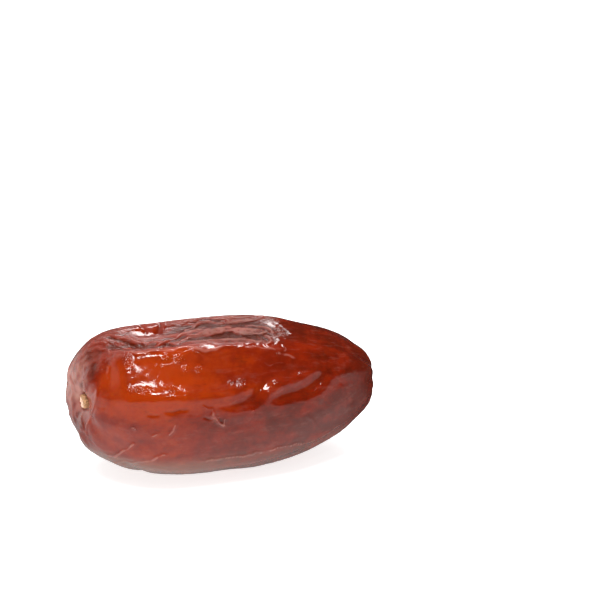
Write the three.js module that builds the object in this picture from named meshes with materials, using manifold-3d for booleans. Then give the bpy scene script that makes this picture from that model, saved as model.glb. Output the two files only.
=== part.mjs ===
// A medjool date lying on its side: one grown solid, in millimetres, +Z up.
// The stem end points to -X and the tip to +X. The side with the broad glossy panel faces -Y.
// The origin is under the middle of the fruit, on the surface that it lies on.
// Angles round the fruit are in degrees: 0 faces -Y, 90 is up and -90 is down.
import * as THREE from "three";
import { mergeVertices } from "three/addons/utils/BufferGeometryUtils.js";
import Module from "manifold-3d";

const { degToRad, lerp, smoothstep } = THREE.MathUtils;

// Driving sizes of the plain oval, before the flesh has shrunk
const LENGTH = 46.2;
const WIDTH = 23.8;
const HEIGHT = 22.6;
const STEM_BLUNTNESS = 2.6; // exponent of the end's outline: 2 is an ellipse, more is squarer
const TIP_BLUNTNESS = 2.2;
const TIP_TAPER = 0.1; // how much slimmer the fruit is at the tip than at the stem end
const STEM_BEND_RADIUS = 105; // the fruit is curved a little, with both ends towards -Y
const TIP_BEND_RADIUS = 180;
const STEM_RISE = 1.2; // how far the ends rise above the middle
const TIP_RISE = 0.7;
const STEM_SLANT = 0.16; // the stem end is cut slantwise, and reaches further at the back
const SETTLED = 0.35; // depth to which the soft flesh has flattened where it lies

// Grid of the skin
const SECTORS = 92;
const RINGS = 60;

// The flesh has shrunk into long flat sides. Each side faces one way, drifting by twist
// from the middle to the tip, and its distance from the axis is a share of the plain oval.
const SIDES = [
  { faces: 88, twist: -6, share: 0.925 },
  { faces: 41, twist: -5, share: 0.945 },
  { faces: 0, twist: 0, share: 0.97 },
  { faces: -56, twist: 4, share: 1.055 },
  { faces: -90, twist: 0, share: 0.955 },
  { faces: -138, twist: -5, share: 0.965 },
  { faces: 176, twist: 6, share: 0.945 },
  { faces: 130, twist: 4, share: 0.965 },
];
const SIDE_CRISPNESS = 12; // higher makes the ridges between the sides sharper
const ROUND_FROM = 0.55; // share of the half length beyond which the sides fade into round ends

// Folds of the skin. Each passes through points [share of the half length, angle], and rises
// above the flesh by rise, or is a furrow where rise is negative. width is its half width.
const FOLDS = [
  // crest between the top and the glossy side, falling away over the tip half
  {
    rise: 0.5,
    width: 1.05,
    through: [[-0.84, 82], [-0.7, 70], [-0.54, 63], [-0.24, 62], [0.04, 59], [0.28, 58]],
  },
  { rise: 0.32, width: 0.9, through: [[0.12, 58], [0.36, 55], [0.52, 44], [0.72, 29]] },
  // far edge of the top
  { rise: 0.45, width: 1.5, through: [[-0.78, 124], [-0.3, 113], [0.2, 115], [0.55, 108]] },
  // long furrows along the top
  { rise: -0.42, width: 0.85, through: [[-0.78, 98], [-0.66, 83], [-0.5, 75], [-0.2, 73]] },
  { rise: -0.35, width: 0.85, through: [[-0.44, 86], [-0.2, 79], [0.06, 80], [0.32, 69]] },
  { rise: -0.32, width: 0.9, through: [[-0.7, 108], [-0.35, 99], [0, 101], [0.36, 92]] },
  // blunt step under the glossy side, which climbs into it past the middle
  {
    rise: 0.5,
    width: 1.05,
    through: [
      [-0.92, 27.5], [-0.7, 27.5], [-0.45, 26.5], [-0.15, 24.5], [-0.02, 25.5], [0.07, 29], [0.2, 33],
    ],
  },
  { rise: -0.14, width: 0.6, through: [[-0.72, 12], [-0.46, 14], [-0.2, 12]] },
  { rise: 0.2, width: 0.7, through: [[-0.2, 11], [0.0, 9], [0.2, 11], [0.42, 11]] },
  // oblique waves near the tip, each a furrow with a ridge beyond it
  { rise: -0.3, width: 0.6, through: [[-0.12, 15], [0.06, 18], [0.16, 26], [0.24, 38]] },
  { rise: 0.6, width: 0.75, through: [[0.14, 12], [0.22, 24], [0.4, 29.5], [0.5, 34], [0.62, 42]] },
  {
    rise: -0.34,
    width: 0.7,
    through: [[0.22, 14], [0.34, 19], [0.47, 21], [0.56, 28], [0.66, 40]],
  },
  { rise: 0.34, width: 0.8, through: [[0.5, 6], [0.58, 16], [0.64, 29], [0.74, 34], [0.95, 36]] },
  // long low ridge near the floor
  { rise: 0.35, width: 0.9, through: [[-0.1, -50], [0.3, -50], [0.62, -47], [0.88, -38]] },
  // creases low on the stem side
  { rise: 0.24, width: 0.7, through: [[-0.86, -48], [-0.79, -30], [-0.68, -14]] },
  { rise: -0.3, width: 0.9, through: [[-0.9, -10], [-0.76, -50], [-0.5, -68]] },
  // welt round the shoulder, beside the hollow
  { rise: 0.32, width: 0.95, through: [[-0.76, 82], [-0.77, 58], [-0.8, 36], [-0.84, 8]] },
  // the back: two long furrows with a welt between them
  { rise: -0.65, width: 1.3, through: [[-0.72, 150], [-0.3, 160], [0.15, 152], [0.66, 160]] },
  { rise: 0.35, width: 1.3, through: [[-0.62, 164], [-0.2, 175], [0.3, 168], [0.7, 176]] },
  { rise: -0.5, width: 1.2, through: [[-0.55, 196], [-0.1, 188], [0.35, 198], [0.72, 190]] },
  { rise: 0.3, width: 1.1, through: [[-0.7, 216], [-0.3, 226], [0.2, 218]] },
  { rise: -0.35, width: 1.1, through: [[0.1, 130], [0.4, 126], [0.75, 134]] },
  // short pleats that run on to the tip
  { rise: -0.3, width: 0.8, through: [[0.74, 62], [0.88, 66], [0.98, 60]] },
  { rise: -0.3, width: 0.8, through: [[0.78, -8], [0.9, -2], [0.985, 4]] },
  { rise: -0.28, width: 0.8, through: [[0.74, 102], [0.9, 110], [0.985, 104]] },
  { rise: -0.3, width: 0.8, through: [[0.8, 222], [0.92, 214], [0.985, 220]] },
];
const FOLD_STEPS = 16;
const FOLD_FADE = 0.22; // share of a fold's length over which each end dies away

// Hollows where the skin has sunk, or swellings where depth is negative.
// size is [half length along the fruit, half width across].
const HOLLOWS = [
  { at: [-0.46, 89], depth: 0.65, size: [6, 3.2] },
  { at: [0.12, 82], depth: 0.35, size: [6, 3.4] },
  { at: [-0.88, 62], depth: 0.8, size: [1.4, 2.8] },
  { at: [-0.34, 43], depth: 0.2, size: [8.5, 3] },
  { at: [0.3, 42], depth: 0.25, size: [4, 2.6] },
  { at: [0.1, 172], depth: 0.5, size: [9, 3.4] },
  { at: [-0.5, 226], depth: 0.4, size: [5, 3] },
  { at: [0.62, -34], depth: 0.3, size: [3.4, 3] },
  { at: [-0.72, 114], depth: -1.2, size: [5.5, 4.5] },
  { at: [0.74, 52], depth: -0.35, size: [3.6, 2.6] },
  { at: [-0.94, -92], depth: -0.6, size: [3, 4.5] },
  { at: [-0.82, -56], depth: -0.55, size: [4.5, 4.5] },
];

// Stem end: a puckered dimple with pleats that run in to the stub of the stalk
const EYE_RISE = 0.6; // the dimple's middle lies this far above the fruit's middle line
const DIMPLE_DEPTH = 1.5;
const DIMPLE_RADIUS = 3.2;
const STEM_PLEATS = [
  { count: 5, height: 0.12, phase: 20 },
  { count: 9, height: 0.1, phase: 75 },
];
const PLEAT_RADIUS = 4.6; // where the pleats stand highest
const STUB_RADII = [1.15, 1.3]; // across Y and up Z
const STUB_HEIGHT = 0.45; // above the floor of the dimple
const STUB_ROOT = 1.6; // sunk into the flesh
const STUB_SIDES = 14;

// Tip end: a small pucker round the withered end of the flower
const PUCKER_DEPTH = 0.55;
const PUCKER_RADIUS = 2.3;
const TIP_PLEATS = { count: 7, height: 0.16, phase: 40, radius: 3.2 };
const NUB_RADIUS = 0.55;
const NUB_HEIGHT = 0.35;
const NUB_ROOT = 1.2;
const NUB_SIDES = 10;

const HALF = LENGTH / 2;
const UP = new THREE.Vector3(0, 0, 1);

function bluntness(along) {
  return along < 0 ? STEM_BLUNTNESS : TIP_BLUNTNESS;
}

// How far the outline reaches from the axis, from 0 at an end to 1 at the middle
function reachAt(along) {
  const n = bluntness(along);
  return (1 - Math.abs(along) ** n) ** (1 / n);
}

// The outline from the stem end to the tip, as [distance along, distance out]
class Outline extends THREE.Curve {
  getPoint(t, target = new THREE.Vector2()) {
    const angle = Math.PI * t;
    const x = -Math.cos(angle);
    const y = Math.sin(angle);
    const n = bluntness(x);
    const scale = (Math.abs(x) ** n + y ** n) ** (-1 / n);
    return target.set(x * scale * HALF, (y * scale * WIDTH) / 2);
  }
}

function ovalRadius(angle) {
  return 1 / Math.hypot(Math.cos(angle) / (WIDTH / 2), Math.sin(angle) / (HEIGHT / 2));
}

// Radius of the cross-section, in which each side is a flat and the ridges between are soft
function sectionRadius(along, angle) {
  let sum = 0;
  for (const { faces, twist, share } of SIDES) {
    const facing = degToRad(faces + twist * along);
    const towards = Math.max(0, Math.cos(angle - facing));
    sum += (towards / (share * ovalRadius(facing))) ** SIDE_CRISPNESS;
  }
  const flattened = sum ** (-1 / SIDE_CRISPNESS);
  const roundness = smoothstep(Math.abs(along), ROUND_FROM, 1);
  return lerp(flattened, ovalRadius(angle), roundness);
}

// Curves the straight fruit about an upright axis on its -Y side
function bend(point, outward) {
  const radius = point.x < 0 ? STEM_BEND_RADIUS : TIP_BEND_RADIUS;
  const turn = point.x / radius;
  const distance = radius + point.y;
  point.x = distance * Math.sin(turn);
  point.y = distance * Math.cos(turn) - radius;
  outward.applyAxisAngle(UP, -turn);
}

// A point of the skin before folds, with the way out of the flesh there
function skinPoint(along, reach, angle) {
  const radius = sectionRadius(along, angle) * reach * (1 - TIP_TAPER * along);
  const rise = (along < 0 ? STEM_RISE : TIP_RISE) * along * along;
  const across = -radius * Math.cos(angle);
  const slant = STEM_SLANT * across * smoothstep(-along, 0.3, 1);
  const point = new THREE.Vector3(
    along * HALF - slant,
    across,
    rise + radius * Math.sin(angle),
  );
  const n = bluntness(along);
  const out = reach ** (n - 1) / (WIDTH / 2);
  const outward = new THREE.Vector3(
    (Math.sign(along) * Math.abs(along) ** (n - 1)) / HALF,
    -out * Math.cos(angle),
    out * Math.sin(angle),
  ).normalize();
  bend(point, outward);
  return { along, angle, radius, point, outward };
}

function foldLine({ through }) {
  const points = through.map(
    ([along, degrees]) => skinPoint(along, reachAt(along), degToRad(degrees)).point,
  );
  return new THREE.CatmullRomCurve3(points).getPoints(FOLD_STEPS);
}

const foldLines = FOLDS.map(foldLine);

// Height that one fold adds at a place on the skin
function foldHeight(place, fold, line) {
  let nearest = Infinity;
  let share = 0;
  const segment = new THREE.Line3();
  const closest = new THREE.Vector3();
  for (let i = 0; i < line.length - 1; i++) {
    segment.set(line[i], line[i + 1]);
    const t = segment.closestPointToPointParameter(place.point, true);
    const distance = segment.at(t, closest).distanceTo(place.point);
    if (distance < nearest) {
      nearest = distance;
      share = (i + t) / (line.length - 1);
    }
  }
  const fade = smoothstep(share, 0, FOLD_FADE) * smoothstep(1 - share, 0, FOLD_FADE);
  return fold.rise * fade * Math.exp(-((nearest / fold.width) ** 2));
}

// Depth that one hollow takes away at a place on the skin
function hollowDepth(place, { at: [along, degrees], depth, size: [length, width] }) {
  const centre = skinPoint(along, reachAt(along), degToRad(degrees)).point;
  const gap = place.point.clone().sub(centre);
  const across = Math.hypot(gap.y, gap.z);
  return depth * Math.exp(-((gap.x / length) ** 2) - (across / width) ** 2);
}

// 0 in the middle of an end, and 1 at the radius where its pleats stand highest
function pleatRing(radius, highest) {
  const share = (radius / highest) ** 2;
  return share * Math.exp(1 - share);
}

// Relief of the puckered stem end at a place on the skin
function stemRelief({ radius, angle, along }) {
  const across = radius * Math.cos(angle);
  const up = radius * Math.sin(angle) - EYE_RISE;
  const out = Math.hypot(across, up);
  const turn = Math.atan2(up, across);
  const near = smoothstep(-along, 0.6, 0.85);
  let height = -DIMPLE_DEPTH * Math.exp(-((out / DIMPLE_RADIUS) ** 2));
  for (const { count, height: pleat, phase } of STEM_PLEATS) {
    height += near * pleatRing(out, PLEAT_RADIUS) * pleat * Math.cos(count * turn + degToRad(phase));
  }
  return height;
}

// Relief of the puckered tip at a place on the skin
function tipRelief({ radius, angle, along }) {
  const { count, height: pleat, phase, radius: at } = TIP_PLEATS;
  const near = smoothstep(along, 0.7, 0.9);
  return (
    -PUCKER_DEPTH * Math.exp(-((radius / PUCKER_RADIUS) ** 2)) +
    near * pleatRing(radius, at) * pleat * Math.cos(count * angle + degToRad(phase))
  );
}

// The finished skin: folds, hollows and puckers raised from the shrunken flesh
function wrinkledPoint(along, reach, angle) {
  const place = skinPoint(along, reach, angle);
  let height = along < 0 ? stemRelief(place) : tipRelief(place);
  FOLDS.forEach((fold, i) => {
    height += foldHeight(place, fold, foldLines[i]);
  });
  for (const hollow of HOLLOWS) {
    height -= hollowDepth(place, hollow);
  }
  return place.point.addScaledVector(place.outward, height);
}

// Closed grid of rings from the stem end to the tip, with one point at each end
function fleshGeometry() {
  const outline = new Outline();
  outline.arcLengthDivisions = 1200;
  const stations = outline.getSpacedPoints(RINGS).slice(1, -1);
  const vertices = [...wrinkledPoint(-1, 0, 0)];
  for (const { x } of stations) {
    const along = x / HALF;
    for (let i = 0; i < SECTORS; i++) {
      vertices.push(...wrinkledPoint(along, reachAt(along), (i / SECTORS) * 2 * Math.PI));
    }
  }
  vertices.push(...wrinkledPoint(1, 0, 0));

  const faces = [];
  const last = vertices.length / 3 - 1;
  const at = (ring, sector) => 1 + ring * SECTORS + (sector % SECTORS);
  for (let i = 0; i < SECTORS; i++) {
    faces.push(0, at(0, i), at(0, i + 1));
    faces.push(last, at(stations.length - 1, i + 1), at(stations.length - 1, i));
  }
  for (let ring = 0; ring < stations.length - 1; ring++) {
    for (let i = 0; i < SECTORS; i++) {
      const [a, b] = [at(ring, i), at(ring, i + 1)];
      const [c, d] = [at(ring + 1, i), at(ring + 1, i + 1)];
      faces.push(a, d, b, a, c, d);
    }
  }
  return new THREE.BufferGeometry()
    .setAttribute("position", new THREE.Float32BufferAttribute(vertices, 3))
    .setIndex(faces);
}

// The flesh is soft, so it lies on a flat: what would reach below the surface is pressed level
function settle(geometry) {
  geometry.computeBoundingBox();
  geometry.translate(0, 0, -geometry.boundingBox.min.z - SETTLED);
  const position = geometry.getAttribute("position");
  for (let i = 0; i < position.count; i++) {
    position.setZ(i, Math.max(0, position.getZ(i)));
  }
  return geometry;
}

// Rough woody stub of the stalk, along X, slightly domed
function stubGeometry() {
  const profile = [
    [0, -STUB_ROOT],
    [0.8, -STUB_ROOT],
    [1, 0],
    [0.95, STUB_HEIGHT * 0.7],
    [0.6, STUB_HEIGHT],
    [0, STUB_HEIGHT * 0.85],
  ].map(([radius, height]) => new THREE.Vector2(radius, height));
  return new THREE.LatheGeometry(profile, STUB_SIDES)
    .rotateZ(Math.PI / 2)
    .scale(1, STUB_RADII[0], STUB_RADII[1]);
}

function nubGeometry() {
  const profile = [
    [0, -NUB_ROOT],
    [NUB_RADIUS, -NUB_ROOT],
    [NUB_RADIUS, 0],
    [NUB_RADIUS * 0.5, NUB_HEIGHT * 0.8],
    [0, NUB_HEIGHT],
  ].map(([radius, height]) => new THREE.Vector2(radius, height));
  return new THREE.LatheGeometry(profile, NUB_SIDES).rotateZ(-Math.PI / 2);
}

const wasm = await Module();
wasm.setup();

function toSolid(geometry) {
  const bare = geometry.clone();
  bare.deleteAttribute("normal");
  bare.deleteAttribute("uv");
  const merged = mergeVertices(bare, 1e-4);
  return new wasm.Manifold(
    new wasm.Mesh({
      numProp: 3,
      vertProperties: new Float32Array(merged.attributes.position.array),
      triVerts: new Uint32Array(merged.index.array),
    }),
  );
}

function toGeometry(solid) {
  const mesh = solid.getMesh();
  const geometry = new THREE.BufferGeometry()
    .setAttribute("position", new THREE.Float32BufferAttribute(mesh.vertProperties, 3))
    .setIndex(new THREE.BufferAttribute(mesh.triVerts, 1));
  geometry.computeVertexNormals();
  return geometry;
}

function dateGeometry() {
  const flesh = settle(fleshGeometry());
  const position = flesh.getAttribute("position");
  const stemEnd = new THREE.Vector3().fromBufferAttribute(position, 0);
  const tipEnd = new THREE.Vector3().fromBufferAttribute(position, position.count - 1);
  const stub = stubGeometry().translate(stemEnd.x, stemEnd.y, stemEnd.z + EYE_RISE);
  const nub = nubGeometry().translate(...tipEnd);
  const fruit = toGeometry(toSolid(flesh).add(toSolid(stub)).add(toSolid(nub)));
  fruit.computeBoundingBox();
  const middle = fruit.boundingBox.getCenter(new THREE.Vector3());
  return fruit.translate(-middle.x, -middle.y, 0);
}

const skin = new THREE.MeshStandardMaterial({
  color: 0x7a1f0e,
  roughness: 0.22,
  metalness: 0,
});

const date = new THREE.Mesh(dateGeometry(), skin);
date.name = "date";

const fruit = new THREE.Group();
fruit.add(date);

export default fruit;
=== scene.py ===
import math

import bmesh
import bpy
import numpy as np
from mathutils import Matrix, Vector
from mathutils.bvhtree import BVHTree


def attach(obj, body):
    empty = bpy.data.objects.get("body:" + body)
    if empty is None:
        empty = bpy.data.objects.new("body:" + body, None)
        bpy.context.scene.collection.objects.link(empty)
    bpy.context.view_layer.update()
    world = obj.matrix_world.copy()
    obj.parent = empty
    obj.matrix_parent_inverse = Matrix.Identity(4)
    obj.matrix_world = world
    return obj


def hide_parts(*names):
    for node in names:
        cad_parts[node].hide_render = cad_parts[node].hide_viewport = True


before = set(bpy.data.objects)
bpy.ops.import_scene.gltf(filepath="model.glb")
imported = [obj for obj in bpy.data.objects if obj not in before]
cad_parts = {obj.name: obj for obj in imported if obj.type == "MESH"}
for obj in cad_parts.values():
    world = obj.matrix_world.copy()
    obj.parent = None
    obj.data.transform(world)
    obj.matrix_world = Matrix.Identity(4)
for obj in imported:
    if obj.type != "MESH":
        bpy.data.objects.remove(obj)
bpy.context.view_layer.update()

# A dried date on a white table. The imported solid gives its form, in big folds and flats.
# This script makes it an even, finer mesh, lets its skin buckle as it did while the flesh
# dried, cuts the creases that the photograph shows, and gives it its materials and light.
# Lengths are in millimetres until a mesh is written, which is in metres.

MM = 0.001

# Middle line of the fruit, as the solid was drawn: it curves to -Y and rises at both ends
HALF_LENGTH = 23.1
MIDDLE = (0.596, 0.286, 10.519)
BEND_RADIUS = {"stem": 105, "tip": 180}
END_RISE = {"stem": 1.2, "tip": 0.7}
STEM_END = (-21.0, -1.95, 12.32)
STUB_AXIS = Vector((-0.98, -0.2, 0.0)).normalized()


# Fields over points, which are rows of x, y and z. A place on the skin is given in the
# fruit's own coordinates: its share of the half length, and its angle round the middle line,
# where 0 faces -Y and 90 is up. An edge is where a field is 0 and where it is 1.

WAVE_PACES = (0.75, 1.35)


def step(value, low, high):
    """Rises smoothly from 0 at low to 1 at high, or falls if low is above high."""
    t = np.clip((value - low) / (high - low), 0, 1)
    return t * t * (3 - 2 * t)


def waves(points, length, count, seed, stretch=(1, 1, 1)):
    """A smooth random field whose bumps are about length apart, and mostly within -1 to 1."""
    draw = np.random.default_rng(seed)
    heading = draw.normal(size=(count, 3))
    heading /= np.linalg.norm(heading, axis=1, keepdims=True)
    pace = 2 * np.pi / (length * draw.uniform(*WAVE_PACES, count))
    phase = draw.uniform(0, 2 * np.pi, count)
    total = np.zeros(len(points))
    for direction, shift in zip(heading * pace[:, None] / np.array(stretch), phase):
        total += np.cos(points @ direction + shift)
    return total / math.sqrt(count)


def patches(points, mean, swing, size):
    """A field in soft patches, within 0 to 1. size is what waves takes after the points."""
    return np.clip(mean + swing * waves(points, *size), 0, 1)


def blob(along, angle, centre, size):
    """A soft spot on the skin, 1 in its middle, with its place and half size."""
    turned = (angle - centre[1] + 180) % 360 - 180
    return np.exp(-((along - centre[0]) / size[0]) ** 2 - (turned / size[1]) ** 2)


def middle_line(along):
    """A point on the middle line, and how far the line has turned there."""
    end = "stem" if along < 0 else "tip"
    radius = BEND_RADIUS[end]
    turn = along * HALF_LENGTH / radius
    return Vector((
        MIDDLE[0] + radius * math.sin(turn),
        MIDDLE[1] + radius * (math.cos(turn) - 1),
        MIDDLE[2] + END_RISE[end] * along * along,
    )), turn


def own_coordinates(points):
    """Share of the half length and angle of each point."""
    x = points[:, 0] - MIDDLE[0]
    y = points[:, 1] - MIDDLE[1]
    radius = np.where(x < 0, BEND_RADIUS["stem"], BEND_RADIUS["tip"])
    along = np.arctan2(x, radius + y) * radius / HALF_LENGTH
    across = np.hypot(x, radius + y) - radius
    rise = np.where(x < 0, END_RISE["stem"], END_RISE["tip"])
    up = points[:, 2] - MIDDLE[2] - rise * along**2
    return along, np.degrees(np.arctan2(up, -across))


# Even mesh of the skin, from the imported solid

COARSE_SQUARE = 0.42
WELD = 0.002
FLAT_PAIR = 0.7  # largest angle, in radians, between two triangles that are joined in one face
SQUARE_PAIR = 1.2  # and how far from square that face may be
SMOOTHING_STEPS = 8
SMOOTHING = 0.5  # share of the way to its neighbours' mean that a point moves in each step
UNSMOOTHING = 0.52  # share of the way back, which keeps the volume


def link(piece):
    """Puts an object into the scene."""
    bpy.context.scene.collection.objects.link(piece)
    return piece


def applied(mesh, *modifiers):
    """The mesh with modifiers applied, each given as its kind and settings."""
    piece = link(bpy.data.objects.new("work", mesh))
    for kind, settings in modifiers:
        modifier = piece.modifiers.new(kind.lower(), kind)
        for name, value in settings.items():
            setattr(modifier, name, value)
    bpy.context.view_layer.update()
    shown = piece.evaluated_get(bpy.context.evaluated_depsgraph_get())
    result = bpy.data.meshes.new_from_object(shown)
    bpy.data.objects.remove(piece)
    return result


def even_mesh(node):
    """The solid as a mesh of even squares, without its facets, in millimetres."""
    form = bmesh.new()
    form.from_mesh(node.data)
    bmesh.ops.scale(form, vec=(1 / MM, 1 / MM, 1 / MM), verts=form.verts)
    bmesh.ops.remove_doubles(form, verts=form.verts, dist=WELD)
    bmesh.ops.join_triangles(
        form, faces=form.faces, angle_face_threshold=FLAT_PAIR, angle_shape_threshold=SQUARE_PAIR
    )
    mesh = bpy.data.meshes.new("form")
    form.to_mesh(mesh)
    form.free()
    return applied(
        mesh,
        ("SUBSURF", {"levels": 2}),
        ("REMESH", {"mode": "VOXEL", "voxel_size": COARSE_SQUARE}),
    )


def read(mesh):
    """Points and four-cornered faces of a mesh."""
    points = np.empty(len(mesh.vertices) * 3)
    mesh.vertices.foreach_get("co", points)
    corners = np.empty(len(mesh.loops), int)
    mesh.loops.foreach_get("vertex_index", corners)
    return points.reshape(-1, 3), corners.reshape(-1, 4)


def normals_of(points, faces):
    """The direction that the skin faces at each point."""
    across = points[faces[:, 2]] - points[faces[:, 0]]
    other = points[faces[:, 3]] - points[faces[:, 1]]
    facing = np.cross(across, other)
    total = np.stack([
        sum(np.bincount(faces[:, k], facing[:, axis], len(points)) for k in range(4))
        for axis in range(3)
    ], 1)
    return total / np.linalg.norm(total, axis=1, keepdims=True)


class Ties:
    """Pairs of points that are tied to each other. Fields are arrays of rows by points."""

    def __init__(self, count, pairs):
        self.count = count
        self.one, self.other = np.unique(np.sort(pairs, axis=1), axis=0).T
        both = np.concatenate([self.one, self.other])
        self.valence = np.maximum(np.bincount(both, minlength=count), 1)

    def spans(self, field):
        """From the first point of each tie to its other point."""
        return np.stack([row.take(self.other) - row.take(self.one) for row in field])

    def gather(self, pulls):
        """The mean pull on each point, where each tie pulls its two points opposite ways."""
        return np.stack([
            np.bincount(self.one, row, self.count) - np.bincount(self.other, row, self.count)
            for row in pulls
        ]) / self.valence

    def bend(self, field):
        """From each point's value to the mean of its neighbours'."""
        return self.gather(self.spans(field))

    def smooth(self, field, steps):
        """The field with each point moved towards its neighbours, again and again."""
        for _ in range(steps):
            field = field + SMOOTHING * self.bend(field)
        return field


def sides_of(faces):
    """The pairs of points along the sides of the squares."""
    return np.concatenate([faces[:, [k, (k + 1) % 4]] for k in range(4)])


def ties_of(faces):
    """The same, and the pairs across the squares."""
    return np.concatenate([sides_of(faces), faces[:, [0, 2]], faces[:, [1, 3]]])


def evened(points, faces):
    """Smooths away the steps of the voxels, and keeps the volume."""
    sides = Ties(len(points), sides_of(faces))
    field = points.T
    for _ in range(SMOOTHING_STEPS):
        field = field + SMOOTHING * sides.bend(field)
        field = field - UNSMOOTHING * sides.bend(field)
    return field.T


# Skin that buckles as the flesh under it shrinks

PULL = 0.8  # how far the ties move the skin in each step
MOMENTUM = 0.88
START_WAVES = 50
FOLDING = {
    "shrink": 0.10,  # by how much the loosest skin is too wide for its flesh
    "lengthwise": 0.3,  # share of that which is also to spare along the fruit
    "bending": 0.045,
    "grip_in": 0.005,  # how hard the flesh resists a dent
    "grip_out": 0.002,  # how hard it holds back a ridge
    "hold": 0.01,  # how hard it holds the skin in place sideways
    "steps": 240,
    "start": (11, 0.02, 2.2, (2.5, 1, 1)),  # first unevenness: seed, height, length, stretch
}
WRINKLING = {
    "shrink": 0.13,
    "lengthwise": 0.5,
    "bending": 0.05,
    "grip_in": 0.006,
    "grip_out": 0.004,
    "hold": 0.01,
    "steps": 110,
    "start": (12, 0.01, 1.1, (1.8, 1, 1)),
}


# Edges and places of the loose skin
RESTING_EDGE = (1.2, 0.2)  # heights over the table
FAR_EDGE = (125, 142)
FAR_STEM_EDGE = (-0.93, -0.78)
FAR_TIP_EDGE = (0.92, 0.6)
FAR_PATCHES = (0.45, 0.4, (14, 12, 3))  # mean, swing, and length, number and seed of the waves
UNDER_BACK_EDGE = (-120, -90)
FOLDS = {
    "facet": ((-0.46, 106), (0.11, 9)),  # tight skin on top
    "front": (62, 76),
    "behind": (130, 112),
    "towards_tip": (0.45, 0.15),
    "under": (-18, -34),
    "tip": (0.85, 0.95),
}
FOLDS_ON_TOP = 0.5
FOLDS_UNDER = 0.25
FOLDS_AT_TIP = 0.25
WRINKLES = {
    "facet": ((-0.47, 105), (0.08, 7)),
    "most": ((0.1, 85), (0.25, 24)),
    "pinch": ((-0.175, 6), (0.06, 6)),
    "front": (60, 70),
    "behind": (140, 112),
    "towards_tip": (0.5, 0.26),
    "under": (-24, -40),
    "stem": (-0.88, -0.95),
    "tip": (0.87, 0.95),
}
WRINKLES_AT_PINCH = 0.8
WRINKLES_UNDER = 0.4
WRINKLES_AT_STEM = 0.06
WRINKLES_AT_TIP = 0.3
WRINKLES_ELSEWHERE = 0.1
RAGGED_TIP = (0.06, (4, 20, 71))  # how far an edge wanders, and its waves
RAGGED_BEHIND = (7, (7, 20, 72))


def resting(points):
    """1 where the fruit lies on the table, and its skin is held."""
    return step(points[:, 2], *RESTING_EDGE)


def far_side(points, along, angle):
    """Loose skin in patches, on the side and underside that face away."""
    ends = step(along, *FAR_STEM_EDGE) * step(along, *FAR_TIP_EDGE)
    return step(np.abs(angle), *FAR_EDGE) * patches(points, *FAR_PATCHES) * ends


def fold_room(points):
    """How loose the skin is for folds 2 to 3 mm wide, from 0 where it is tight to 1."""
    along, angle = own_coordinates(points)
    facet = blob(along, angle, *FOLDS["facet"])
    top = step(angle, *FOLDS["front"]) * step(angle, *FOLDS["behind"])
    top = top * step(along, *FOLDS["towards_tip"]) * FOLDS_ON_TOP * (1 - facet)
    under = step(angle, *FOLDS["under"]) * step(angle, *UNDER_BACK_EDGE) * FOLDS_UNDER
    tip = step(along, *FOLDS["tip"]) * FOLDS_AT_TIP
    fields = [top, far_side(points, along, angle), under, tip]
    return np.maximum.reduce(fields) * (1 - resting(points))


def wrinkle_room(points):
    """The same for wrinkles about 1 mm wide."""
    along, angle = own_coordinates(points)
    much = 0.5 + 0.5 * blob(along, angle, *WRINKLES["most"])
    facet = blob(along, angle, *WRINKLES["facet"])
    reach, ragged = RAGGED_TIP
    end = step(along + reach * waves(points, *ragged), *WRINKLES["towards_tip"])
    reach, ragged = RAGGED_BEHIND
    behind = step(angle + reach * waves(points, *ragged), *WRINKLES["behind"])
    top = step(angle, *WRINKLES["front"]) * behind * end * much * (1 - facet)
    pinch = blob(along, angle, *WRINKLES["pinch"]) * WRINKLES_AT_PINCH
    under = step(angle, *WRINKLES["under"]) * step(angle, *UNDER_BACK_EDGE) * WRINKLES_UNDER
    stem = step(along, *WRINKLES["stem"]) * WRINKLES_AT_STEM
    tip = step(along, *WRINKLES["tip"]) * WRINKLES_AT_TIP
    elsewhere = np.full(len(points), WRINKLES_ELSEWHERE)
    fields = [top, far_side(points, along, angle), pinch, under, stem, tip, elsewhere]
    return np.maximum.reduce(fields) * (1 - resting(points))


def grown_lengths(ties, start, loose, way):
    """The ties' lengths in skin that is too wide for the flesh, mostly round the fruit."""
    spans = ties.spans(start)
    length = np.linalg.norm(spans, axis=0)
    middle = (start[1:, ties.one] + start[1:, ties.other]) / 2 - np.array(MIDDLE[1:])[:, None]
    middle /= np.linalg.norm(middle, axis=0)
    around = ((spans[1] * middle[1] - spans[2] * middle[0]) / length) ** 2
    spare = (loose[ties.one] + loose[ties.other]) / 2 * way["shrink"]
    return length * (1 + spare * (way["lengthwise"] + (1 - way["lengthwise"]) * around))


def buckle(points, faces, loose, way):
    """Lets the skin relax after it has grown too wide for the flesh."""
    ties = Ties(len(points), ties_of(faces))
    facing = normals_of(points, faces).T
    start = points.T
    rest = grown_lengths(ties, start, loose, way)
    seed, height, wave, stretch = way["start"]
    moved = start + facing * height * loose * waves(points, wave, START_WAVES, seed, stretch)
    speed = np.zeros_like(moved)
    for _ in range(way["steps"]):
        spans = ties.spans(moved)
        strain = 1 - rest / np.sqrt((spans**2).sum(0))
        shift = moved - start
        out = (shift * facing).sum(0)
        grip = np.where(out > 0, way["grip_out"], way["grip_in"])
        back = way["bending"] * ties.bend(ties.bend(out[None]))[0] + (grip - way["hold"]) * out
        force = PULL * ties.gather(spans * strain) - way["hold"] * shift - back * facing
        speed = MOMENTUM * speed + force
        moved = moved + speed
    return moved.T


# Creases that the photograph shows, each with its height (below 0 for a furrow), its width
# and the places that it runs through, as share of the half length and angle

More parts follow.
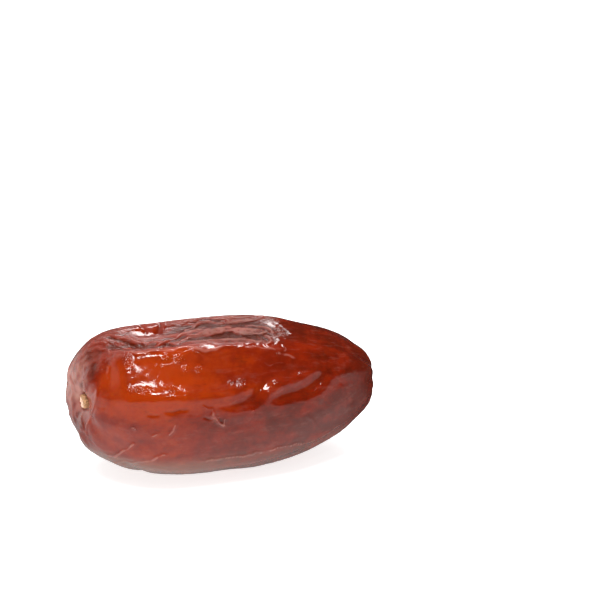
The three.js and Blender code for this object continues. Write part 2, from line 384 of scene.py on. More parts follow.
CREASES = [
    # long furrows and ridges behind the crest over the panel
    (-0.22, 0.34, [(-0.77, 105), (-0.73, 101), (-0.69, 94), (-0.65, 90), (-0.61, 84), (-0.55, 79)]),
    (0.10, 0.26, [(-0.75, 108), (-0.68, 100), (-0.62, 92), (-0.55, 85), (-0.51, 80)]),
    (0.09, 0.24, [(-0.78, 100), (-0.72, 91), (-0.65, 80), (-0.56, 72), (-0.46, 68)]),
    (0.13, 0.32, [(-0.80, 90), (-0.75, 78), (-0.63, 67), (-0.53, 66), (-0.41, 63), (-0.31, 65),
                  (-0.21, 60), (-0.11, 60), (-0.04, 62), (0.06, 59)]),
    (0.11, 0.26, [(-0.55, 71), (-0.41, 82), (-0.30, 88), (-0.17, 96), (-0.03, 107)]),
    (0.11, 0.26, [(-0.49, 67), (-0.35, 78), (-0.24, 84), (-0.13, 88), (0.02, 101)]),
    (-0.12, 0.26, [(-0.32, 85), (-0.26, 87), (-0.20, 88), (-0.12, 91), (-0.07, 94), (0.0, 99)]),
    (-0.12, 0.26, [(-0.24, 105), (-0.16, 107), (-0.09, 109), (-0.04, 107), (0.04, 106)]),
    (0.10, 0.24, [(-0.30, 95), (-0.19, 101), (-0.13, 105), (-0.07, 106), (0.0, 104)]),
    (-0.20, 0.30, [(-0.43, 76), (-0.40, 76), (-0.36, 75)]),
    (-0.12, 0.40, [(-0.39, 112), (-0.405, 105), (-0.43, 99)]),
    (-0.08, 0.18, [(-0.505, 114), (-0.50, 107), (-0.495, 101)]),
    (0.11, 0.22, [(0.02, 60), (0.10, 60), (0.16, 60), (0.23, 59), (0.28, 58), (0.32, 54),
                  (0.39, 51), (0.45, 48), (0.52, 44)]),
    (0.12, 0.22, [(0.14, 100), (0.21, 97), (0.26, 95), (0.31, 88), (0.30, 80)]),
    (0.10, 0.20, [(0.35, 65), (0.36, 58), (0.34, 55)]),
    (0.11, 0.20, [(0.28, 78), (0.28, 69), (0.24, 63), (0.28, 57)]),
    (0.07, 0.20, [(0.19, 47), (0.23, 44), (0.28, 45), (0.38, 47)]),
    # shoulder over the stem end
    (0.11, 0.24, [(-0.86, 117), (-0.80, 112), (-0.73, 114)]),
    (0.09, 0.22, [(-0.87, 108), (-0.83, 104), (-0.79, 97), (-0.75, 89)]),
    (0.09, 0.22, [(-0.86, 99), (-0.82, 94), (-0.79, 87), (-0.775, 79)]),
    (0.10, 0.20, [(-0.82, 71), (-0.83, 63), (-0.84, 55)]),
    # low on the front
    (0.19, 0.20, [(-0.89, -51), (-0.85, -45), (-0.81, -32), (-0.77, -20), (-0.74, -15)]),
    (0.13, 0.20, [(-0.84, -62), (-0.785, -43), (-0.72, -34)]),
    (0.14, 0.16, [(-0.77, 1), (-0.75, 0), (-0.73, -2.5)]),
    (0.14, 0.16, [(-0.65, -6.5), (-0.61, -4.5), (-0.57, -1.5)]),
    (0.13, 0.16, [(-0.455, 5), (-0.50, 0), (-0.535, -5)]),
    (0.14, 0.20, [(-0.74, -35), (-0.65, -27), (-0.585, -22), (-0.52, -19.5)]),
    (0.12, 0.24, [(-0.42, -24), (-0.28, -25), (-0.15, -25), (0.03, -25.5), (0.15, -25),
                  (0.36, -26), (0.59, -32.5), (0.76, -30), (0.90, -42)]),
    # crumple where the skin has been pinched
    (0.17, 0.17, [(-0.215, 11), (-0.19, 8.5), (-0.165, 4.5), (-0.135, 1.5), (-0.11, -0.5)]),
    (0.13, 0.15, [(-0.14, 0.5), (-0.125, 3.5), (-0.108, 7)]),
    (0.12, 0.19, [(-0.205, 16), (-0.20, 12.5), (-0.195, 9.5)]),
    (0.10, 0.17, [(-0.27, 17.5), (-0.245, 15.5), (-0.22, 13.5)]),
    (-0.11, 0.22, [(-0.27, 9.5), (-0.24, 8.2), (-0.21, 7)]),
    # dark dashes under the panel
    (-0.07, 0.26, [(-0.67, 13.5), (-0.63, 12.5), (-0.575, 12.5)]),
    (-0.07, 0.26, [(-0.55, 15), (-0.49, 15), (-0.43, 16), (-0.355, 16.5)]),
    # ripples in the band towards the tip
    (0.06, 0.26, [(0.24, 18), (0.275, 23.5), (0.33, 27), (0.40, 27), (0.47, 31), (0.54, 36)]),
    (0.10, 0.16, [(0.065, 12.5), (0.085, 10), (0.105, 11.5)]),
    (0.015, 0.22, [(0.65, 30), (0.71, 22), (0.755, 12)]),
    (0.015, 0.22, [(0.70, 32), (0.76, 22), (0.82, 8)]),
    (0.015, 0.22, [(0.76, 31), (0.81, 20), (0.855, 1)]),
    (0.05, 0.20, [(0.46, 0), (0.51, -8), (0.56, -20.5)]),
]

# The same on the stem end, with places as distances across and up from the stub
STEM_CREASES = [
    (-0.19, 0.9, [(1.4, 7.9), (0.4, 7.2), (-0.8, 6.3), (-1.8, 5.3), (-2.6, 4.2)]),
    (0.08, 0.25, [(3.4, 6.7), (3.6, 5.5), (3.2, 4.5), (2.5, 3.7), (1.7, 2.7), (1.3, 1.7)]),
    (0.08, 0.25, [(1.1, 6.0), (-0.2, 4.6), (-1.2, 3.5), (-1.3, 2.4), (-1.1, 1.7)]),
    (0.11, 0.30, [(-3.2, 3.9), (-3.4, 3.1), (-3.7, 2.1), (-3.4, 1.0), (-3.0, -0.3), (-2.2, -2.1),
                  (-1.9, -3.6), (-2.1, -5.0)]),
    (0.10, 0.30, [(2.9, 1.6), (2.6, 0.5), (2.5, -1.1), (2.1, -2.6), (1.8, -3.8), (1.7, -5.1)]),
    (0.08, 0.23, [(1.3, -1.6), (1.1, -3.1), (-0.6, -3.7), (-1.6, -4.6)]),
    (0.07, 0.23, [(0.3, -1.9), (-0.4, -2.8), (-1.3, -3.7), (-2.3, -4.9)]),
    (0.06, 0.23, [(2.2, -4.9), (-0.3, -5.0), (-1.5, -6.1), (-1.5, -7.4)]),
    (-0.06, 0.23, [(-3.9, 0.9), (-4.8, 1.2), (-5.5, 1.4)]),
    (-0.07, 0.23, [(-1.9, 1.6), (-2.6, 2.3), (-3.2, 3.2)]),
    (0.08, 0.28, [(2.0, 1.9), (3.6, 2.8), (5.2, 3.4)]),
    (0.08, 0.28, [(2.2, -0.9), (3.8, -1.6), (5.4, -2.6)]),
    (0.07, 0.25, [(3.2, -3.2), (4.4, -4.6), (4.8, -6.2)]),
    (0.07, 0.25, [(4.4, 0.6), (5.6, 0.5), (6.8, 0.2)]),
]
CREASE_STEPS = 12  # points on a crease from each of its places to the next
CREASE_REACH = 3  # in widths, as far as a crease lifts the skin
CREASE_FADE = 0.2  # share of its length over which each end fades
CREASE_WOBBLE = 0.12  # how far its line wanders
WOBBLE_LENGTH = 1.6
WOBBLE_WAVES = 30
WOBBLE_SEEDS = (41, 42, 43)
OUTSIDE = 40  # farther from the middle line than any skin
BEFORE_STEM = 10  # farther than the stem end reaches past the stub


def on_side(tree, along, angle):
    """The point on the skin at a place in the fruit's own coordinates."""
    start, turn = middle_line(along)
    angle = math.radians(angle)
    across = math.cos(angle)
    ray = Vector((-across * math.sin(turn), -across * math.cos(turn), math.sin(angle)))
    return tree.ray_cast(start + ray * OUTSIDE, -ray)[0]


def on_stem_end(tree, across, up):
    """The point on the stem end at a place beside the stub."""
    start = Vector(STEM_END) + Vector((-BEFORE_STEM, across, up))
    return tree.ray_cast(start, Vector((1, 0, 0)))[0]


def curve_through(tree, find, places):
    """Points on the skin, close together, along a smooth line through the given places."""
    known = np.array([places[0]] + list(places) + [places[-1]], float)
    line = []
    for k in range(len(places) - 1):
        a, b, c, d = known[k:k + 4]
        for t in np.linspace(0, 1, CREASE_STEPS, endpoint=k == len(places) - 2):
            place = b + 0.5 * t * (
                c - a + t * (2 * a - 5 * b + 4 * c - d + t * (3 * (b - c) + d - a))
            )
            line.append(find(tree, *place))
    return np.array([place for place in line if place])


def crease_lift(points, faces):
    """How far the creases lift each point out of the skin."""
    tree = BVHTree.FromPolygons(points.tolist(), faces.tolist())
    wobble = [waves(points, WOBBLE_LENGTH, WOBBLE_WAVES, seed) for seed in WOBBLE_SEEDS]
    nearby = points + CREASE_WOBBLE * np.stack(wobble, 1)
    lift = np.zeros(len(points))
    creases = [(on_side, *crease) for crease in CREASES]
    creases += [(on_stem_end, *crease) for crease in STEM_CREASES]
    for find, height, width, places in creases:
        line = curve_through(tree, find, places)
        reach = CREASE_REACH * width
        near = np.nonzero(
            ((nearby > line.min(0) - reach) & (nearby < line.max(0) + reach)).all(1)
        )[0]
        gap = np.linalg.norm(nearby[near, None] - line[None], axis=2)
        closest = gap.argmin(1)
        at = closest / (len(line) - 1)
        fade = step(at, 0, CREASE_FADE) * step(at, 1, 1 - CREASE_FADE)
        lift[near] += height * fade * np.exp(-(gap.min(1) / width) ** 2)
    return lift


# What the skin's material needs to know at each point

NEAR_SMOOTHING = 2  # steps, for the relief
FAR_SMOOTHING = 30
GLINTS = [  # clusters of small pits that glitter: place, half size, and how rough
    ((-0.715, 63), (0.04, 9), 1),
    ((-0.75, 37), (0.03, 4), 1),
    ((-0.69, 35.5), (0.04, 4), 1),
    ((-0.63, 34), (0.035, 3.5), 1),
    ((-0.475, 31.5), (0.035, 3.2), 1),
    ((-0.46, 57.5), (0.035, 3.6), 1),
    ((-0.37, 56.5), (0.04, 3.6), 1),
    ((-0.34, 48), (0.03, 3), 1),
    ((-0.25, 46), (0.03, 3), 1),
    ((-0.04, 33), (0.05, 4), 0.5),
    ((0.03, 31), (0.06, 5), 0.6),
    ((0.11, 34), (0.04, 5), 0.3),
    ((0.22, 29), (0.04, 4), 0.2),
    ((0.43, 35), (0.04, 4), 0.2),
    ((-0.24, 63), (0.07, 3), 0.8),
    ((0.14, 80), (0.13, 12), 0.6),
]

# Light flesh shows amber through the skin, mostly in the panel on the front and on the back. That
# amber is partly the flesh's own tone and partly a painted glow of light shining through the flesh,
# and painted shade darkens the flesh towards the tip
# Lightness along the fruit: the flesh's own tone, with painted shade that darkens it towards the
# tip
FLESH_AND_SHADE_ALONG = [  # share of the half length, and how light the flesh is
    (-1.0, 0.55), (-0.86, 0.7), (-0.72, 0.85), (-0.55, 1.0), (-0.4, 0.95), (-0.17, 0.72),
    (0.03, 0.55), (0.3, 0.4), (0.6, 0.3), (0.85, 0.1), (1.0, 0.0),
]
FLESH_AND_LIGHT_SPOTS = [  # how much lighter, place, and half size
    (0.25, (-0.68, 14), (0.2, 10)),
    (0.3, (-0.89, -15), (0.12, 40)),
    (0.2, (-0.6, -18), (0.28, 24)),
    # painted reflection of the pale glow on the left of the room
    (0.25, (-0.83, 62), (0.06, 24)),
    # painted shade and dark reflection in the hollow on the shoulder
    (-0.2, (-0.9, 78), (0.04, 16)),
]
PANEL_LOW_EDGE = (2, 26)
PANEL_TOP_EDGE = (74, 58)
BACK_EDGE = (118, 145)
# elsewhere less of the amber and of its painted glow
FLESH_AND_GLOW_OUTSIDE = 0.42  # share of that light elsewhere
BACK_PATCHES = (0.6, 0.5, (20, 10, 51))  # mean, swing, and length, number and seed of the waves
CLOUDS = (5, 40, 52)
CLOUD_LIGHT = 0.05
STRIPES = (1.8, 60, 53, (5, 1, 1))  # and their stretch
STRIPE_LIGHT = 0.06

# Paler skin round the stub, partly its own pale waxy coat and partly a painted reflection of the
# pale room, in millimetres from the stem end
BLOOM_REFLECTION_EDGE = (9, 3.5)
BLOOM_REFLECTION_SIDE_EDGE = (-3.6, 0.4)
BLOOM_REFLECTION_LOW_EDGE = (-4, 0.5)
BLOOM_REFLECTION_LOW = 0.15
BLOOM_REFLECTION_PATCHES = (0.75, 0.4, (1.6, 40, 61))
BLOOM_REFLECTION_GAP = ((-0.89, 76), (0.04, 14))  # place and half size
FURROW_GAP = ((-1.6, 5.8), (1.9, 1.3))  # the same across and up from the stem end

STEM_HAZE_EDGE = (-0.73, -0.82)
TIP_HAZE_EDGE = (0.55, 0.85)
TIP_HAZE = 0.9
# Painted light from the table, in a band low on the fruit, less of it towards the tip
LOW_EDGE = (6.8, 4.2)  # heights over the table
LOW_END_EDGE = (0.2, -0.5)
LOW_AT_TIP = 0.35


def attribute(mesh, name, values):
    """Writes a field into the mesh, for a material to read."""
    layer = mesh.attributes.new(name, "FLOAT", "POINT")
    layer.data.foreach_set("value", np.asarray(values, np.float32))


def relief(points, faces):
    """How far each point stands out of its surroundings, in millimetres."""
    sides = Ties(len(points), sides_of(faces))
    near = sides.smooth(points.T, NEAR_SMOOTHING)
    far = sides.smooth(near, FAR_SMOOTHING)
    return ((near - far).T * normals_of(points, faces)).sum(1)


def glint_field(along, angle):
    """How rough the small pits are, from 0 to 1."""
    fields = [blob(along, angle, place, size) * much for place, size, much in GLINTS]
    return np.maximum.reduce(fields)


def flesh_tone_and_painted_light(points, along, angle):
    """How light the flesh is painted under the skin, from 0 for dark red to 1 for amber: partly its
    own tone and partly painted light, with a glow of light through it on the front and back, shade
    towards the tip, and one painted reflection and one painted shade among the spots.
    """
    lengthwise = np.interp(along, *zip(*FLESH_AND_SHADE_ALONG))
    front = step(angle, *PANEL_LOW_EDGE) * step(angle, *PANEL_TOP_EDGE)
    back = step(np.abs(angle), *BACK_EDGE) * patches(points, *BACK_PATCHES)
    light = lengthwise * (FLESH_AND_GLOW_OUTSIDE + (1 - FLESH_AND_GLOW_OUTSIDE) * np.maximum(front, back))
    for much, place, size in FLESH_AND_LIGHT_SPOTS:
        light += much * blob(along, angle, place, size)
    light = light + CLOUD_LIGHT * waves(points, *CLOUDS)
    return light + STRIPE_LIGHT * waves(points, *STRIPES)


def stem_bloom_and_reflection(points, along, angle):
    """Paler skin round the stub, partly its own waxy coat and partly a painted reflection, except
    on the side that the panel is on.
    """
    offset = points - np.array(STEM_END)
    across, up = offset[:, 1], offset[:, 2]
    low = BLOOM_REFLECTION_LOW + (1 - BLOOM_REFLECTION_LOW) * step(up, *BLOOM_REFLECTION_LOW_EDGE)
    (middle, height), (width, thickness) = FURROW_GAP
    furrow = np.exp(-((across - middle) / width) ** 2 - ((up - height) / thickness) ** 2)
    side = step(across, *BLOOM_REFLECTION_SIDE_EDGE) * low
    side = side * (1 - blob(along, angle, *BLOOM_REFLECTION_GAP)) * (1 - furrow)
    near = step(np.linalg.norm(offset, axis=1), *BLOOM_REFLECTION_EDGE)
    return near * side * patches(points, *BLOOM_REFLECTION_PATCHES)


def haze(along):
    """Duller skin at both ends, from 0 to 1."""
    return np.maximum(step(along, *STEM_HAZE_EDGE), TIP_HAZE * step(along, *TIP_HAZE_EDGE))


def painted_table_light(points, along):
    """Painted light from the white table on the skin near it, a greyish olive band, from 0 to 1."""
    share = LOW_AT_TIP + (1 - LOW_AT_TIP) * step(along, *LOW_END_EDGE)
    return step(points[:, 2], *LOW_EDGE) * share


# The dressed fruit

EYE_DEPTH = 0.7  # how far the skin sinks round the stub
EYE_EDGE = (1.6, 1.1)  # distances from the stub's axis
EYE_BACK_EDGE = (-2, -1)  # distances along it
CRINKLES = [(0.9, 60, 21), (1.7, 50, 22)]  # length, number and seed of the waves
CRINKLE_HEIGHT = 0.02
TIGHT_CRINKLES = 0.15  # share of that height where the skin is tight


def eye_dent(points):
    """The skin round the stub, drawn in so that the stub stands free in a small pit."""
    from_stem = points - np.array(STEM_END)
    axis = np.array(STUB_AXIS)
    depth = from_stem @ axis
    gap = np.linalg.norm(from_stem - depth[:, None] * axis, axis=1)
    near = step(gap, *EYE_EDGE) * step(depth, *EYE_BACK_EDGE)
    return points - axis * (EYE_DEPTH * near)[:, None]


def crinkled(points, faces, loose):
    """The skin with its finest unevenness, which is least where the skin is tight."""
    height = sum(waves(points, *crinkle) * CRINKLE_HEIGHT for crinkle in CRINKLES)
    share = TIGHT_CRINKLES + (1 - TIGHT_CRINKLES) * loose
    return points + normals_of(points, faces) * (height * share)[:, None]


def folded_mesh():
    """The even mesh with its folds, made twice as fine after that."""
    mesh = even_mesh(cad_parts["date"])
    points, faces = read(mesh)
    points = evened(points, faces)
    points = buckle(points, faces, fold_room(points), FOLDING)
    mesh.vertices.foreach_set("co", points.ravel())
    return applied(mesh, ("SUBSURF", {"levels": 1}))


def make_skin():
    mesh = folded_mesh()
    points, faces = read(mesh)
    lift = crease_lift(points, faces)
    points = points + normals_of(points, faces) * lift[:, None]
    loose = wrinkle_room(points)
    points = buckle(points, faces, loose, WRINKLING)
    points = eye_dent(crinkled(points, faces, loose))
    points[:, 2] = np.maximum(points[:, 2], 0)
    along, angle = own_coordinates(points)
    fields = {
        # flesh tone, with a painted glow through the flesh and painted shade towards the tip
        "light": flesh_tone_and_painted_light(points, along, angle),
        "loose": loose,
        "relief": relief(points, faces),
        "crease": lift,
        "grain": glint_field(along, angle),
        "haze": haze(along),
        # paler round the stub: waxy coat and a painted reflection
        "bloom_and_reflection": stem_bloom_and_reflection(points, along, angle),
        # painted light from the table, low on the fruit
        "low": painted_table_light(points, along),
    }
    for name, values in fields.items():
        attribute(mesh, name, values)
    print("skin:", len(faces), "squares")
    mesh.vertices.foreach_set("co", (points * MM).ravel())
    mesh.shade_smooth()
    mesh.update()
    mesh.materials.clear()
    mesh.materials.append(skin_material())
    skin = link(bpy.data.objects.new("date_skin", mesh))
    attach(skin, "root")
    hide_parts("date")


# Materials

ALONG_STRETCH = 0.3


class Nodes:
    """A node tree, with short ways to add to it."""

    def __init__(self, tree):
        self.tree = tree

    def put(self, value, socket):
        """Sets a socket to a value, or links another socket to it."""
        if isinstance(value, bpy.types.NodeSocket):
            self.tree.links.new(value, socket)
        else:
            socket.default_value = value

    def add(self, kind, inputs, output=0, **settings):
        """Adds a node and gives one of its outputs."""
        node = self.tree.nodes.new("ShaderNode" + kind)
        for name, value in settings.items():
            setattr(node, name, value)
        for name, value in inputs.items():
            self.put(value, node.inputs[name])
        return None if output is None else node.outputs[output]

    def field(self, name):
        """A field that the mesh brings along."""
        return self.add("Attribute", {}, "Fac", attribute_name=name)

    def dot(self, one, other):
        return self.add("VectorMath", {0: one, 1: other}, "Value", operation="DOT_PRODUCT")

    def mix(self, share, one, other):
        """The colour that is one where share is 0, and other where it is 1."""
        return self.add("Mix", {0: share, 6: one, 7: other}, 2, data_type="RGBA")

    def ramp(self, value, low, high, start=0.0, end=1.0):
        """Goes smoothly from start, where value is low, to end, where it is high."""
        return self.add(
            "MapRange",
            {"Value": value, "From Min": low, "From Max": high, "To Min": start, "To Max": end},
            interpolation_type="SMOOTHSTEP",
        )

    def math(self, operation, one, other):
        return self.add("Math", {0: one, 1: other}, operation=operation)

    def times(self, one, other):
        return self.math("MULTIPLY", one, other)

    def most(self, one, other):
        return self.math("MAXIMUM", one, other)

    def plus(self, one, other):
        return self.math("ADD", one, other)

    def noise(self, size, detail, rough, place=None):
        """A noise texture whose bumps are about size apart, in millimetres."""
        inputs = {"Scale": 1 / (size * MM), "Detail": detail, "Roughness": rough}
        inputs["Vector"] = place or self.place()
        return self.add("TexNoise", inputs)

    def place(self):
        return self.add("TexCoord", {}, "Object")

    def place_along(self):
        """Places for a noise that is longer along the fruit."""
        stretch = {0: self.place(), 1: (ALONG_STRETCH, 1, 1)}
        return self.add("VectorMath", stretch, operation="MULTIPLY")


class Material(Nodes):
    """A material with one Principled shader."""

    def __init__(self, name):
        self.material = bpy.data.materials.new(name)
        self.material.use_nodes = True
        super().__init__(self.material.node_tree)

    def finish(self, **inputs):
        shader = self.tree.nodes["Principled BSDF"]
        for name, value in inputs.items():
            self.put(value, shader.inputs[name.replace("_", " ")])
        return self.material


# Flesh that shows through the skin, what lies on it, and painted highlights, reflection, shade and
# table light
DARK = (0.09, 0.007, 0.0014, 1)
RED = (0.185, 0.0112, 0.0014, 1)
AMBER = (0.335, 0.031, 0.0017, 1)
# pale skin, also for painted highlights on ridges and creases and the painted reflection round the
# stub
PALE_AND_HIGHLIGHT = (0.44, 0.19, 0.15, 1)
# greyish olive for the painted light from the table
TABLE_LIGHT_OLIVE = (0.18, 0.13, 0.10, 1)
# dark colour for painted shade in valleys and furrows, and for dark streaks
SHADE_AND_STREAK_DARK = (0.07, 0.009, 0.003, 1)

# Noises of the skin: size, detail and roughness
MOTTLES = (1.6, 4, 0.65)
DRY_PATCHES = (0.9, 4, 0.6)
STREAKS = (0.8, 5, 0.65)
SHEEN = (2.5, 4, 0.6)
BUMPS = (0.9, 3, 0.6)
PITS = (0.27, 1, 0.5)
PLEATS = (0.5, 3, 0.6)

# The pattern's parts: from where to where in a field, and from what to what in the pattern
DARK_TO_RED = (0, 0.45)
RED_TO_AMBER = (0.35, 1.05)
MOTTLE = (0.3, 0.7, -0.12, 0.12)
LOOSE = (0.25, 0.9)
DRY = (0.35, 0.7, 0.02, 0.19)
# painted highlight on ridges of loose skin, where it is also drier
RIDGE_DRY_AND_HIGHLIGHT = (0.015, 0.06, 0, 0.38)
# painted highlight on raised creases, with drier skin there too
RAISED_DRY_AND_HIGHLIGHT = (0.035, 0.13, 0, 0.42)
SCUFF = (0.5, 0.75, 0, 0.09)
SCUFF_ON_LIGHT = (1, 0.6)
# painted shade in the valleys between wrinkles, most on loose skin
VALLEY_SHADE = (-0.01, -0.05, 0, 0.95)
VALLEY_SHADE_ON_LOOSE = (0, 0.5, 0.3, 1)
# painted shade in cut furrows
FURROW_SHADE = (-0.05, -0.2, 0, 0.7)
STREAK = (0.48, 0.25, 0, 0.45)
DARK_ON_HAZE = (0, 1, 1, 0.25)
ROUGHNESS = (0.3, 0.7, 0.07, 0.12)
PIT_HEIGHT = (0.1, 1, 0.2, 11)

# And the strength of what needs no ramp
# how pale the stub's waxy coat and its painted reflection make the skin
BLOOM_AND_REFLECTION_PALE = 0.85
# how much painted table light the low band takes
LOW_TABLE_LIGHT = 0.55
DULL = 0.09  # how much rougher dull skin is
LOOSE_DULL = 0.4
PLEAT_HEIGHT = -44
BUMP_HEIGHT = 0.03


def paleness_and_highlights(nodes, light, loose, streaks):
    """Dry skin, drier skin with a painted highlight on ridges and raised creases, the pale coat and
    its painted reflection round the stub, and scuffs, from 0 to 1.
    """
    dry = nodes.ramp(nodes.noise(*DRY_PATCHES), *DRY)
    ridge_highlight = nodes.ramp(nodes.field("relief"), *RIDGE_DRY_AND_HIGHLIGHT)
    pale = nodes.most(nodes.times(loose, dry), nodes.times(ridge_highlight, loose))
    pale = nodes.most(pale, nodes.ramp(nodes.field("crease"), *RAISED_DRY_AND_HIGHLIGHT))
    pale = nodes.most(pale, nodes.times(nodes.field("bloom_and_reflection"), BLOOM_AND_REFLECTION_PALE))
    scuffs = nodes.times(nodes.ramp(streaks, *SCUFF), nodes.ramp(light, *SCUFF_ON_LIGHT))
    return nodes.plus(pale, scuffs)


def shade_and_streaks(nodes, loose, streaks):
    """Painted shade in the valleys between wrinkles and in cut furrows, and dark streaks of the
    skin, from 0 to 1.
    """
    valley_shade = nodes.ramp(nodes.field("relief"), *VALLEY_SHADE)
    dark = nodes.times(valley_shade, nodes.ramp(loose, *VALLEY_SHADE_ON_LOOSE))
    dark = nodes.most(dark, nodes.ramp(nodes.field("crease"), *FURROW_SHADE))
    dark = nodes.most(dark, nodes.ramp(streaks, *STREAK))
    return nodes.times(dark, nodes.ramp(nodes.field("haze"), *DARK_ON_HAZE))


def skin_colour(nodes, loose, along):
    mottle = nodes.ramp(nodes.noise(*MOTTLES), *MOTTLE)
    # the flesh's lightness holds painted light: a glow through the flesh on the front, and shade
    # towards the tip
    light = nodes.plus(nodes.field("light"), mottle)
    colour = nodes.mix(nodes.ramp(light, *DARK_TO_RED), DARK, RED)
    colour = nodes.mix(nodes.ramp(light, *RED_TO_AMBER), colour, AMBER)
    streaks = nodes.noise(*STREAKS, along)
    # pale dry skin and scuffs, painted highlights on ridges and creases, and the painted reflection
    # round the stub
    colour = nodes.mix(paleness_and_highlights(nodes, light, loose, streaks), colour, PALE_AND_HIGHLIGHT)
    # painted shade in valleys and furrows, and dark streaks
    colour = nodes.mix(shade_and_streaks(nodes, loose, streaks), colour, SHADE_AND_STREAK_DARK)
    # painted light from the table near the bottom
    return nodes.mix(nodes.times(nodes.field("low"), LOW_TABLE_LIGHT), colour, TABLE_LIGHT_OLIVE)


def skin_roughness(nodes, loose):
    plain = nodes.ramp(nodes.noise(*SHEEN), *ROUGHNESS)
    dull = nodes.most(nodes.times(loose, LOOSE_DULL), nodes.field("haze"))
    return nodes.plus(plain, nodes.times(dull, DULL))


def skin_bump(nodes, loose, along):
    """Fine bumps, pits that glitter and sharp little pleats on loose skin."""
    pits = nodes.ramp(nodes.field("grain"), *PIT_HEIGHT)
    height = nodes.plus(nodes.noise(*BUMPS), nodes.times(nodes.noise(*PITS), pits))
    centred = nodes.math("SUBTRACT", nodes.noise(*PLEATS, along), 0.5)
    pleats = nodes.times(nodes.math("ABSOLUTE", centred, 0), PLEAT_HEIGHT)
    height = nodes.plus(height, nodes.times(pleats, loose))
    return nodes.add("Bump", {"Height": height, "Strength": 0.5, "Distance": BUMP_HEIGHT * MM})


def skin_material():
    nodes = Material("date_skin")
    loose = nodes.ramp(nodes.field("loose"), *LOOSE)
    along = nodes.place_along()
    return nodes.finish(
        Base_Color=skin_colour(nodes, loose, along),
        Roughness=skin_roughness(nodes, loose),
        IOR=1.46,
        Normal=skin_bump(nodes, loose, along),
        Subsurface_Weight=0.35,
        Subsurface_Radius=(1, 0.2, 0.08),
        Subsurface_Scale=1.5 * MM,
    )


# The stub of the stalk

STUB_RINGS = [  # distance along the axis from the stem end, and radius
    (-1.5, 1.08),
    (-0.8, 1.08),
    (-0.1, 1.08),
    (0.30, 1.06),
    (0.48, 1.00),
    (0.58, 0.90),
    (0.60, 0.76),
    (0.55, 0.62),
    (0.50, 0.50),
    (0.46, 0.32),
    (0.44, 0.16),
]
STUB_MIDDLE = 0.43  # the same for the point in the middle of the torn end
STUB_SECTORS = 44
FIBRES = (0.55, 30, 31, (4, 1, 1))  # length, number, seed and stretch of the waves
FIBRE_HEIGHT = 0.05
TEARS = (0.4, 40, 32)
TEAR_HEIGHT = 0.09
TEAR_EDGE = (0.0, 0.2)  # distances from the stem end
STUB_PALENESS_WAVES = (0.8, 30, 33)
# how pale the stub is: in the middle, towards its +Y and lower side, and in waves
STUB_PALENESS = {"middle": 0.5, "side": 0.35, "waves": 0.2}
STALK_GRAIN = (0.25, 4, 0.6)  # size, detail and roughness of the noise
BROWN_TO_TAN = (0.3, 0.7)
TAN_TO_IVORY = (0.35, 0.75)
STALK_BROWN = (0.26, 0.12, 0.045, 1)
STALK_TAN = (0.62, 0.33, 0.16, 1)
STALK_IVORY = (0.95, 0.62, 0.46, 1)


def stub_points(across, up):
    """Points of the stub, ring by ring, and which way each lies from its axis."""
    axis = np.array(STUB_AXIS)
    spots = []
    for depth, radius in STUB_RINGS:
        for k in range(STUB_SECTORS):
            turn = 2 * math.pi * k / STUB_SECTORS
            side = across * math.cos(turn) + up * math.sin(turn)
            spots.append(Vector(STEM_END) + STUB_AXIS * depth + side * radius)
    spots.append(Vector(STEM_END) + STUB_AXIS * STUB_MIDDLE)
    points = np.array(spots)
    inner = points - np.array(STEM_END)
    depth = inner @ axis
    side = inner - depth[:, None] * axis
    side /= np.linalg.norm(side, axis=1, keepdims=True) + 1e-6
    fibre = waves(points, *FIBRES) * FIBRE_HEIGHT
    torn = waves(points, *TEARS) * TEAR_HEIGHT * step(depth, *TEAR_EDGE)
    return points + side * fibre[:, None] + axis * torn[:, None], side


def stub_faces():
    """Rings of squares, a fan of triangles on the torn end, and one face inside the fruit."""
    last = (len(STUB_RINGS) - 1) * STUB_SECTORS
    beside = [(k, (k + 1) % STUB_SECTORS) for k in range(STUB_SECTORS)]
    faces = [
        (ring + k, ring + after, ring + STUB_SECTORS + after, ring + STUB_SECTORS + k)
        for ring in range(0, last, STUB_SECTORS)
        for k, after in beside
    ]
    faces += [(last + k, last + after, last + STUB_SECTORS) for k, after in beside]
    faces.append(tuple(reversed(range(STUB_SECTORS))))
    return faces


def make_stub():
    across = STUB_AXIS.cross(Vector((0, 0, 1))).normalized()
    up = across.cross(STUB_AXIS)
    points, side = stub_points(across, up)
    mesh = bpy.data.meshes.new("stalk_stub")
    mesh.from_pydata((points * MM).tolist(), [], stub_faces())
    # Paler on the side of the stub that faces +Y and down, darker on the side that faces -Y and up,
    # with waves
    lower_side = side @ np.array(across) - side @ np.array(up)
    stub_paleness = STUB_PALENESS["middle"] + STUB_PALENESS["side"] * lower_side
    stub_paleness = stub_paleness + STUB_PALENESS["waves"] * waves(points, *STUB_PALENESS_WAVES)
    attribute(mesh, "stub_paleness", stub_paleness)
    mesh = applied(mesh, ("SUBSURF", {"levels": 1}))
    mesh.shade_smooth()
    mesh.materials.append(stalk_material())
    stub = link(bpy.data.objects.new("stalk_stub", mesh))
    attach(stub, "root")


def stalk_material():
    nodes = Material("stalk")
    grain = nodes.noise(*STALK_GRAIN)
    colour = nodes.mix(nodes.ramp(grain, *BROWN_TO_TAN), STALK_BROWN, STALK_TAN)
    ivory = nodes.ramp(nodes.field("stub_paleness"), *TAN_TO_IVORY)
    colour = nodes.mix(ivory, colour, STALK_IVORY)
    bump = nodes.add("Bump", {"Height": grain, "Strength": 0.8, "Distance": 0.08 * MM})
    return nodes.finish(Base_Color=colour, Roughness=0.6, Normal=bump)


# Table, light and camera

